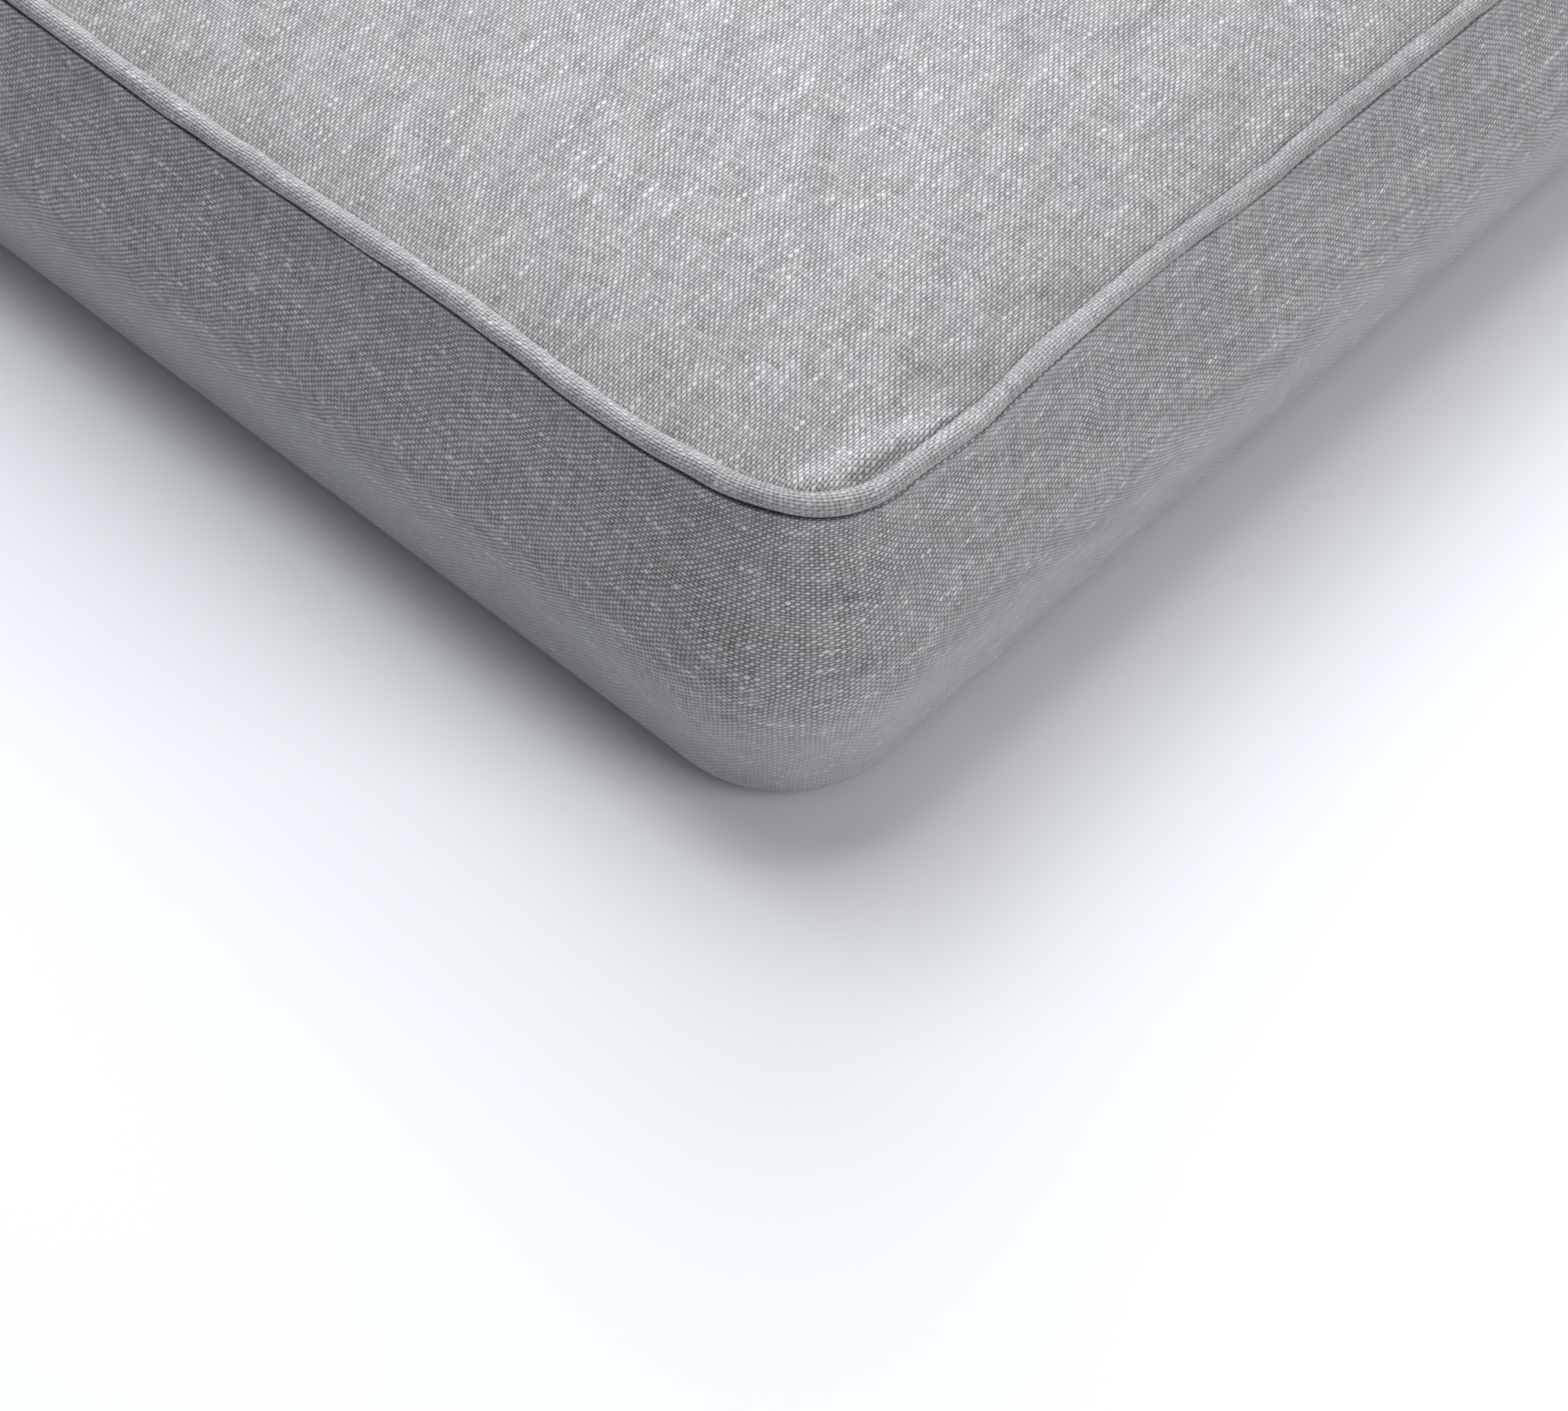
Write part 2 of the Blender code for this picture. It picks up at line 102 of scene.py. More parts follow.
# Hollows of the boxing: the way past a corner's middle, the depth below the seam, the
# reaches along and down, the depth pressed in, and the lean along the seam for each
# metre down
SIDE_HOLLOWS = (
    {"corner": 0, "past": 0.075, "down": 0.085, "along": 0.030, "tall": 0.020, "deep": 0.0016, "lean": 0.5},
    {"corner": 0, "past": 0.165, "down": 0.042, "along": 0.026, "tall": 0.028, "deep": 0.0012, "lean": 0.7},
    {"corner": 0, "past": 0.255, "down": 0.074, "along": 0.034, "tall": 0.026, "deep": 0.0012, "lean": 0.3},
    {"corner": 0, "past": -0.085, "down": 0.092, "along": 0.040, "tall": 0.018, "deep": 0.0014, "lean": -0.4},
    {"corner": 0, "past": -0.190, "down": 0.052, "along": 0.030, "tall": 0.030, "deep": 0.0012, "lean": -0.6},
    {"corner": 1, "past": -0.080, "down": 0.062, "along": 0.026, "tall": 0.030, "deep": 0.0018, "lean": -0.5},
    {"corner": 1, "past": 0.100, "down": 0.080, "along": 0.034, "tall": 0.022, "deep": 0.0014, "lean": 0.4},
    {"corner": 2, "past": -0.090, "down": 0.074, "along": 0.030, "tall": 0.024, "deep": 0.0015, "lean": -0.4},
    {"corner": 2, "past": 0.085, "down": 0.052, "along": 0.026, "tall": 0.030, "deep": 0.0018, "lean": 0.6},
    {"corner": 3, "past": -0.070, "down": 0.068, "along": 0.030, "tall": 0.026, "deep": 0.0016, "lean": -0.5},
    {"corner": 3, "past": 0.110, "down": 0.048, "along": 0.028, "tall": 0.028, "deep": 0.0014, "lean": 0.5},
)

# Steps of the surfaces: the reach each side of a corner's middle, and the step there
STEPS = (
    {"corner": 0, "reach": 0.430, "step": 0.0025},
    {"corner": 1, "reach": 0.110, "step": 0.0045},
    {"corner": 2, "reach": 0.110, "step": 0.0045},
    {"corner": 3, "reach": 0.110, "step": 0.0045},
)

# The step between the corners, and the sides of the welt's cord
LONG_STEP = 0.026
WELT_SIDES = 20

# The top panel: the inset at which its creases are full, the reach of the welt's lift,
# the crease height with the full painted light and shade, and the painted shade beside
# the welt with its reach
CREASE_START = 0.003
LIFT_REACH = 0.030
FULL_CREASE = 0.0030
RIM_SHADE = 0.75
RIM_REACH = 0.044

# The boxing's top edge swells up to the welt between two stations, and elsewhere it is
# tucked in under the welt. How far it stands out and how far its tuck is lifted are
# given for the one and the other
SWELL_SPAN = (0.020, 0.098)
SWELL_SOFTNESS = 0.010
EDGE_PROUD = (0.0022, 0.0015)
EDGE_LIFT = (0.0006, -0.0010)
EDGE_REACH = 0.0045
TUCK_INWARD = 0.0024
TUCK_LENGTH = 0.0022
DEEPEST_HOLLOW = 0.0019

# The welt: its unevenness, and the stretches where its linen is painted darker as painted
# shade, each with the stations between which it is, the softness of its ends and its tone
WELT_UNEVEN = 0.00010
WELT_SHADE = ((-0.030, 0.030, 0.015, 0.13), (0.130, 0.450, 0.020, 0.16))

# Finishes: cycles a metre of the yarns' wandering, and the depths on the boxing between
# which its weave softens
LINEN_ROUGHNESS = 0.85
SPECULAR_LEVEL = 0.25
SHEEN_WEIGHT = 0.08
SHEEN_ROUGHNESS = 0.5
WANDER_CYCLES = 38.0
HAZE_DEPTHS = (0.062, 0.098)
TICKING_ROUGHNESS = 0.9
TICKING_PITCH = 0.0008
TICKING_RELIEF = 0.00008
TICKING_CYCLES = 40.0
TICKING_DARK = (0.74, 0.71, 0.64)
TICKING_LIGHT = (0.82, 0.80, 0.74)

# The stage: the floor, the place that every light faces, and a warm white
FLOOR_ROUGHNESS = 0.9
FLOOR_SIDE = 14.0
FLOOR_DROP = 0.0002
LIT_PLACE = (-0.9, -0.45, 0.1)
WARM_WHITE = (1.0, 0.98, 0.96)

# The camera's place and turn, found from the seam's lines and the lower outline. The
# angles are in degrees, and the lens and sensor in millimetres
CAMERA_PLACE = (-1.38505, -0.85214, 0.78721)
CAMERA_YAW = 40.086
CAMERA_DOWN = 51.407
CAMERA_ROLL = -2.822
CAMERA_LENS = 78.57
SENSOR_WIDTH = 36.0


def length(name, text, value):
    """A size property in metres."""
    return FloatProperty(name=name, description=text, default=value, unit="LENGTH", precision=4)


def share(name, text, value):
    """A plain number property."""
    return FloatProperty(name=name, description=text, default=value, precision=3)


def colour(name, text, value):
    """A colour property."""
    return FloatVectorProperty(
        name=name, description=text, default=value, subtype="COLOR", size=3, min=0.0, max=1.0
    )


class CoverSizes(bpy.types.PropertyGroup):
    """Sizes of the cover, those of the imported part."""

    long_side: length("Length", "Length of the cover over its bulge", 1.905)
    short_side: length("Width", "Width of the cover over its bulge", 0.990)
    seam_height: length("Seam height", "Height of the welt's middle above the deck", 0.124)
    corner_radius: length("Corner radius", "Radius of the seam at a corner", 0.036)
    cloth: length("Cloth", "Thickness of the linen", 0.002)
    gap: length("Gap", "Gap between pieces", 0.0003)
    welt_radius: length("Welt radius", "Radius of the cord in its linen", 0.0033)
    bulge_out: length("Bulge", "How far the boxing bulges past the seam", 0.0144)
    break_depth: length("Break depth", "Depth of the bulge's line below the seam", 0.059)
    break_softness: length("Break softness", "How softly the boxing turns in at the bulge", 0.006)
    lean_in: length("Lean in", "How far the boxing leans in below the bulge", 0.0095)
    roll_radius: length("Roll radius", "Radius at which the boxing turns under", 0.012)
    hem_width: length("Hem width", "Width of the hem on the underside", 0.024)
    crown_rise: length("Crown", "Rise of the top panel in its middle", 0.0075)
    crown_reach: length("Crown reach", "Distance from the edge at which the crown is full", 0.300)
    shoulder_rise: length("Shoulder", "Rise of the top panel just inside the welt", 0.0022)
    shoulder_reach: length("Shoulder reach", "Width of that rise", 0.010)
    edge_drop: length("Edge drop", "Depth of the top panel's edge beside the welt", 0.0006)


class LinenLook(bpy.types.PropertyGroup):
    """The linen's weave and colours."""

    dark_pitch: length("Dark yarn pitch", "Distance between dark yarns", 0.00136)
    light_pitch: length("Light yarn pitch", "Distance between light yarns", 0.00095)
    wander: length("Wander", "How far the yarns stray from straight", 0.0020)
    depth: length("Weave depth", "Height of the floats", 0.00036)
    twist: share("Twist", "How far a float turns across its yarn, in counts", 0.14)
    light: colour("Light yarn", "Colour of the light yarns", (0.574, 0.588, 0.612))
    dark: colour("Dark yarn", "Colour of the dark yarns", (0.386, 0.382, 0.396))
    # The holes between the yarns are dark partly as holes and partly as painted shade
    hole_and_shade: colour("Between yarns", "Colour of the holes between the yarns", (0.176, 0.168, 0.172))
    cream: colour("Slub", "Colour of the thickest slubs", (0.660, 0.672, 0.685))
    cool: colour("Cool patches", "Tint of the cooler patches", (0.980, 0.990, 1.000))
    warm: colour("Warm patches", "Tint of the warmer patches", (1.000, 0.990, 0.980))
    haze: colour("Haze", "Colour to which the weave softens near the foot", (0.440, 0.450, 0.480))
    # The groove colour is a painted shadow, laid on the boxing under the welt
    groove: colour("Groove", "Colour of the boxing in the seam's groove", (0.050, 0.046, 0.046))
    # A crease's back is painted lighter, a painted highlight, and its hollow and the panel's edge are tinted
    # darker, a painted shade
    hollow: colour("Hollow", "Tint of a crease's hollow and of the panel's edge", (0.640, 0.612, 0.590))
    ridge_highlight: share("Rubbed", "How much lighter a crease's back is", 0.14)


class StageLook(bpy.types.PropertyGroup):
    """The floor and the studio light."""

    floor: colour("Floor", "Colour of the floor", (0.80, 0.82, 0.86))
    key: share("Key", "Power of the light above and behind, in watts", 85.0)
    window: share("Window", "Power of the low light behind, in watts", 22.0)
    fill: share("Fill", "Power of the light beside the long side, in watts", 27.0)
    sky: share("Sky", "Strength of the light from all round", 0.21)


class Seam:
    """The rounded rectangle that the welt follows, measured in stations along it."""

    def __init__(self, sizes):
        self.radius = sizes.corner_radius
        self.half_x = sizes.long_side / 2 - sizes.bulge_out
        self.half_y = sizes.short_side / 2 - sizes.bulge_out
        self.arc = self.radius * math.pi / 2
        self.long_run = 2 * (self.half_x - self.radius)
        self.short_run = 2 * (self.half_y - self.radius)
        self.perimeter = 4 * self.arc + 2 * self.long_run + 2 * self.short_run
        half = self.perimeter / 2
        self.corners = (0.0, self.arc + self.long_run, half, half + self.arc + self.long_run)

    def line(self, station):
        """Points and outward normals of the seam.

        On an arc a point turns about its corner's centre with the station, and on a
        straight it moves along its side.
        """
        s = (np.asarray(station, float) + self.arc / 2) % self.perimeter
        centre_x = self.half_x - self.radius
        centre_y = self.half_y - self.radius
        stretches = (
            ("arc", self.arc, (-centre_x, -centre_y), math.pi),
            ("run", self.long_run, (-centre_x, -self.half_y), -math.pi / 2),
            ("arc", self.arc, (centre_x, -centre_y), -math.pi / 2),
            ("run", self.short_run, (self.half_x, -centre_y), 0.0),
            ("arc", self.arc, (centre_x, centre_y), 0.0),
            ("run", self.long_run, (centre_x, self.half_y), math.pi / 2),
            ("arc", self.arc, (-centre_x, centre_y), math.pi / 2),
            ("run", self.short_run, (-self.half_x, centre_y), math.pi),
        )
        point = np.zeros(s.shape + (2,))
        normal = np.zeros(s.shape + (2,))
        begin = 0.0
        for kind, run, origin, angle in stretches:
            here = (s >= begin) & (s <= begin + run)
            along = s[here] - begin
            turn = angle + (along / self.radius if kind == "arc" else 0 * along)
            out = np.stack([np.cos(turn), np.sin(turn)], -1)
            if kind == "arc":
                point[here] = np.array(origin) + self.radius * out
            else:
                forward = np.stack([-np.sin(turn), np.cos(turn)], -1)
                point[here] = np.array(origin) + along[:, None] * forward
            normal[here] = out
            begin += run
        return point, normal

    def past(self, station, mark):
        """Signed way along the seam from a table row's place, the shorter way round."""
        at = self.corners[mark["corner"]] + mark["past"]
        return (np.asarray(station) - at + self.perimeter / 2) % self.perimeter - self.perimeter / 2

    def stations(self, finer=1.0):
        """Stations from half the way round before station 0 to half the way round after.

        They stand close together near the corners and far apart between them.
        """
        half = self.perimeter / 2
        groups = []
        for row in sorted(STEPS, key=lambda row: self.corners[row["corner"]] % self.perimeter):
            count = round(row["reach"] / row["step"] * finer)
            groups.append(self.corners[row["corner"]] + row["reach"] * np.arange(-count, count + 1) / count)
        joined = []
        for number, group in enumerate(groups):
            last = number == len(groups) - 1
            following = groups[(number + 1) % len(groups)] + (self.perimeter if last else 0.0)
            span = following[0] - group[-1]
            count = max(2, round(span / LONG_STEP * finer))
            joined.extend((group, group[-1] + span * np.arange(1, count) / count))
        return np.sort((np.concatenate(joined) + half) % self.perimeter - half)

    def strays(self, station):
        """Outward shift and lift of the welt: a sum of bell curves along the seam."""
        out = np.zeros(np.shape(station))
        lift = np.zeros(np.shape(station))
        for stray in SEAM_STRAYS:
            bell = np.exp(-0.5 * (self.past(station, stray) / stray["reach"]) ** 2)
            out += stray["out"] * bell
            lift += stray["lift"] * bell
        return out, lift


def window(value, low, high, soft):
    """One between low and high and zero outside, with edges of the given softness."""
    return 0.5 * (np.tanh((value - low) / soft) - np.tanh((value - high) / soft))


def crease_height(seam, x, y):
    """Height of the top panel's creases: each is a bell across a line, faded at its ends.

    Where ridges meet, the higher one counts, and where hollows meet, the deeper one.
    """
    ridges = np.zeros(np.shape(x))
    hollows = np.zeros(np.shape(x))
    signs = ((-1, -1), (1, -1), (1, 1), (-1, 1))
    for crease in TOP_CREASES:
        sign_x, sign_y = signs[crease["corner"]]
        start, end = (
            np.array([sign_x * (seam.half_x - point[0]), sign_y * (seam.half_y - point[1])])
            for point in (crease["start"], crease["end"])
        )
        line = end - start
        way = ((x - start[0]) * line[0] + (y - start[1]) * line[1]) / (line @ line)
        near = np.clip(way, 0.0, 1.0)
        away = np.hypot(x - start[0] - near * line[0], y - start[1] - near * line[1])
        bell = crease["rise"] * np.exp(-0.5 * (away / crease["width"]) ** 2)
        ridges = np.maximum(ridges, bell)
        hollows = np.minimum(hollows, bell)
    return ridges + hollows


def side_hollows(seam, station, down):
    """Depth of the boxing's hollows: bells in station and depth, sheared along the seam."""
    deep = np.zeros(np.broadcast(station, down).shape)
    for hollow in SIDE_HOLLOWS:
        lower = down - hollow["down"]
        along = seam.past(station, hollow) - hollow["lean"] * lower
        reach = (along / hollow["along"]) ** 2 + (lower / hollow["tall"]) ** 2
        deep += hollow["deep"] * np.exp(-0.5 * reach)
    return deep


def side_lean(sizes, down):
    """Outward offset of the side below the seam: it leans out to the bulge, then in.

    Two straight leans are joined by a soft break, a softplus of the depth.
    """
    foot = sizes.seam_height - sizes.roll_radius
    out_slope = sizes.bulge_out / sizes.break_depth
    in_slope = sizes.lean_in / (foot - sizes.break_depth)
    soft = sizes.break_softness
    past = soft * np.logaddexp(0.0, (down - sizes.break_depth) / soft)
    peak = soft * math.log(2.0) * (out_slope + in_slope)
    scale = sizes.bulge_out / (sizes.bulge_out - peak)
    return scale * (out_slope * down - (out_slope + in_slope) * past)


def side_profile(sizes, levels, turns, hem_rows):
    """The boxing's face as depth below the seam and outward offset, from welt to hem."""
    foot = sizes.seam_height - sizes.roll_radius
    top = sizes.welt_radius + sizes.gap
    edge_rows = 6
    edge_step = 0.0005
    below_edge = top + 0.0035
    edge = top + edge_step * np.arange(edge_rows)
    down = np.append(edge, np.linspace(below_edge, foot, levels - edge_rows))
    out = side_lean(sizes, down)
    turn = np.linspace(0, math.pi / 2, turns + 1)[1:]
    down = np.append(down, foot + sizes.roll_radius * np.sin(turn))
    out = np.append(out, out[-1] - sizes.roll_radius * (1 - np.cos(turn)))
    hem = sizes.hem_width * np.arange(1, hem_rows + 1) / hem_rows
    return np.append(down, np.full(hem_rows, sizes.seam_height)), np.append(out, out[-1] - hem)


def towards_spine(seam, point, inset):
    """Rings of plan points moved in from an outline by the insets.

    They move towards the spine, the line from which all four sides are equally far.
    """
    reach = seam.half_x - seam.half_y
    spine = np.stack([np.clip(point[:, 0], -reach, reach), 0 * point[:, 1]], -1)
    return point + (inset / seam.half_y)[..., None] * (spine - point)


def panel_rise(sizes, inset):
    """Height of the top panel's face above the seam: a soft shoulder, then the crown."""
    shoulder = sizes.shoulder_rise * (1 - np.exp(-inset / sizes.shoulder_reach))
    way = np.clip(inset / sizes.crown_reach, 0.0, 1.0)
    crown_power = 1.2
    crown = sizes.crown_rise * np.sin(0.5 * math.pi * way) ** crown_power
    return shoulder + crown - sizes.edge_drop


def raised(plan, height):
    """Points in space from plan points and their heights."""
    height = np.broadcast_to(height, plan.shape[:-1])
    return np.concatenate([plan, height[..., None]], -1)


def rings_from(point, normal, offset, height):
    """Rings of points: plan points moved out along their normals, at their heights."""
    return raised(point + offset[..., None] * normal, height)


def close_ring(metres):
    """The cloth's metres with their first column once more at the end."""
    return np.concatenate([metres, metres[:, :1]], 1)


def loft(name, points, cloth, finish, cap_first=False, cap_last=False):
    """A mesh over a grid, points[level, column, xyz].

    cloth[level, column] are the cloth's own metres along and across its light yarns.
    It has one column more than the points, and one level more where the profile
    closes on itself. A cap closes the first or the last ring.
    """
    levels, columns = points.shape[:2]
    level = np.arange(cloth.shape[0] - 1)[:, None]
    column = np.arange(cloth.shape[1] - 1)[None, :]
    corners = ((level, column), (level + 1, column), (level + 1, column + 1), (level, column + 1))
    quads = np.stack([(a % levels) * columns + b % columns for a, b in corners], -1).reshape(-1, 4)
    weave = np.stack([cloth[a, b] for a, b in corners], -2).reshape(-1, 2)
    faces = quads.tolist()
    loops = [weave]
    ring = np.arange(columns)
    if cap_first:
        faces.append(ring.tolist())
        loops.append(cloth[0, ring])
    if cap_last:
        faces.append((ring[::-1] + (levels - 1) * columns).tolist())
        loops.append(cloth[levels - 1, ring[::-1]])
    mesh = bpy.data.meshes.new(name)
    mesh.from_pydata(points.reshape(-1, 3).tolist(), [], faces)
    layer = mesh.uv_layers.new(name="cloth")
    layer.data.foreach_set("uv", np.concatenate(loops).astype(np.float32).ravel())
    mesh.shade_smooth()
    mesh.materials.append(finish)
    piece = bpy.data.objects.new(name, mesh)
    bpy.context.scene.collection.objects.link(piece)
    return piece


def carry(piece, name, tone):
    """Store a tone for each of a mesh's points."""
    layer = piece.data.attributes.new(name, "FLOAT", "POINT")
    layer.data.foreach_set("value", tone.astype(np.float32).ravel())


def thicken(piece, thickness):
    """Give an open sheet its thickness, inwards from its face."""
    solid = piece.modifiers.new("cloth_thickness", "SOLIDIFY")
    solid.thickness = thickness
    solid.offset = -1.0


class Signal:
    """A node's output that takes plain arithmetic, each step of which is a Math node."""

    def __init__(self, recipe, socket):
        self.recipe = recipe
        self.socket = socket

    def step(self, operation, *others):
        """One Math node, fed with this signal and the others."""
        node = self.recipe.tree.nodes.new("ShaderNodeMath")
        node.operation = operation
        for socket, value in zip(node.inputs, (self, *others)):
            self.recipe.feed(socket, value)
        return Signal(self.recipe, node.outputs[0])

    def __add__(self, other):
        return self.step("ADD", other)

    def __sub__(self, other):
        return self.step("SUBTRACT", other)

    def __rsub__(self, other):
        return self.step("MULTIPLY_ADD", -1.0, other)

    def __mul__(self, other):
        return self.step("MULTIPLY", other)

    def __truediv__(self, other):
        return self.step("DIVIDE", other)

    __radd__ = __add__

    def whole(self):
        """The whole number at or below it."""
        return self.step("FLOOR")

    def root(self):
        """Its square root, or zero where it is below zero."""
        return self.step("MAXIMUM", 0.0).step("SQRT")

    def square(self):
        """The signal times itself."""
        return self * self

    def rise(self, low, high):
        """A smooth step from 0 at low to 1 at high."""
        node = self.recipe.tree.nodes.new("ShaderNodeMapRange")
        node.interpolation_type = "SMOOTHSTEP"
        for name, value in (("Value", self), ("From Min", low), ("From Max", high)):
            self.recipe.feed(node.inputs[name], value)
        return Signal(self.recipe, node.outputs["Result"])


class Recipe:
    """A material under construction: its nodes are fed with signals or plain values."""

    def __init__(self, name, roughness):
        self.material = bpy.data.materials.new(name)
        self.material.use_nodes = True
        self.tree = self.material.node_tree
        self.shader = self.tree.nodes["Principled BSDF"]
        self.shader.inputs["Roughness"].default_value = roughness
        self.shader.inputs["Specular IOR Level"].default_value = SPECULAR_LEVEL

    def feed(self, socket, value):
        """Link a signal to a socket, or set the socket to a plain number or colour."""
        if isinstance(value, Signal):
            self.tree.links.new(value.socket, socket)
        elif socket.type == "RGBA" and len(value) == 3:
            socket.default_value = (*value, 1.0)
        else:
            socket.default_value = value

    def cloth_metres(self):
        """The cloth's own metres along and across its light yarns."""
        source = self.tree.nodes.new("ShaderNodeUVMap")
        source.uv_map = "cloth"
        split = self.tree.nodes.new("ShaderNodeSeparateXYZ")
        self.tree.links.new(source.outputs[0], split.inputs[0])
        return Signal(self, split.outputs[0]), Signal(self, split.outputs[1])

    def layer(self, name):
        """A number that the mesh carries at its points."""
        source = self.tree.nodes.new("ShaderNodeAttribute")
        source.attribute_name = name
        return Signal(self, source.outputs["Fac"])

    def pair(self, x, y):
        """Two numbers as a place that a noise reads."""
        join = self.tree.nodes.new("ShaderNodeCombineXYZ")
        self.feed(join.inputs[0], x)
        self.feed(join.inputs[1], y)
        return Signal(self, join.outputs[0])

    def noise(self, x, y, detail=0.0):
        """Smooth noise from 0 to 1, with a middle of about a half."""
        node = self.tree.nodes.new("ShaderNodeTexNoise")
        node.noise_dimensions = "2D"
        self.feed(node.inputs["Vector"], self.pair(x, y))
        self.feed(node.inputs["Scale"], 1.0)
        self.feed(node.inputs["Detail"], detail)
        return Signal(self, node.outputs[0])

    def chance(self, x, y):
        """An even random value from 0 to 1 for each pair of whole numbers."""
        node = self.tree.nodes.new("ShaderNodeTexWhiteNoise")
        node.noise_dimensions = "2D"
        self.feed(node.inputs["Vector"], self.pair(x, y))
        return Signal(self, node.outputs["Value"])

    def blend(self, amount, first, second, mode="MIX"):
        """A colour between two others, or their product for MULTIPLY.

        The Mix node has sockets for each kind of value. Its colours are inputs 6 and 7
        and output 2.
        """
        node = self.tree.nodes.new("ShaderNodeMix")
        node.data_type = "RGBA"
        node.blend_type = mode
        self.feed(node.inputs[0], amount)
        self.feed(node.inputs[6], first)
        self.feed(node.inputs[7], second)
        return Signal(self, node.outputs[2])

    def grey(self, value):
        """A grey of the given value, which may be above one, to multiply a colour by."""
        join = self.tree.nodes.new("ShaderNodeCombineXYZ")
        for socket in join.inputs:
            self.feed(socket, value)
        return Signal(self, join.outputs[0])

    def finish(self, tint, height, depth):
        """Put the colour and the relief into the shader."""
        self.feed(self.shader.inputs["Base Color"], tint)
        bump = self.tree.nodes.new("ShaderNodeBump")
        bump.inputs["Distance"].default_value = depth
        self.feed(bump.inputs["Height"], height)
        self.tree.links.new(bump.outputs[0], self.shader.inputs["Normal"])
        return self.material


def nearest_float(u, v, twist):
    """The float nearest to a place: the way past its middle, and its two yarns' numbers.

    The middles are the pairs of counts that are both even or both odd. In each set the
    nearest is found along u, and then along v less the twist for each count of u. The
    nearer of the two has the smaller sum of both ways.
    """
    sets = []
    for odd in (0.0, 1.0):
        column = ((u - odd) * 0.5 + 0.5).whole() * 2.0 + odd
        past_u = u - column
        turned = v - past_u * twist
        row = ((turned - odd) * 0.5 + 0.5).whole() * 2.0 + odd
        past_v = turned - row
        far = past_u.step("ABSOLUTE") + past_v.step("ABSOLUTE")
        sets.append((far, past_u, past_v, column, row))
    even, uneven = sets
    nearer = even[0].step("LESS_THAN", uneven[0])
    return [second + nearer * (first - second) for first, second in zip(even[1:], uneven[1:])]


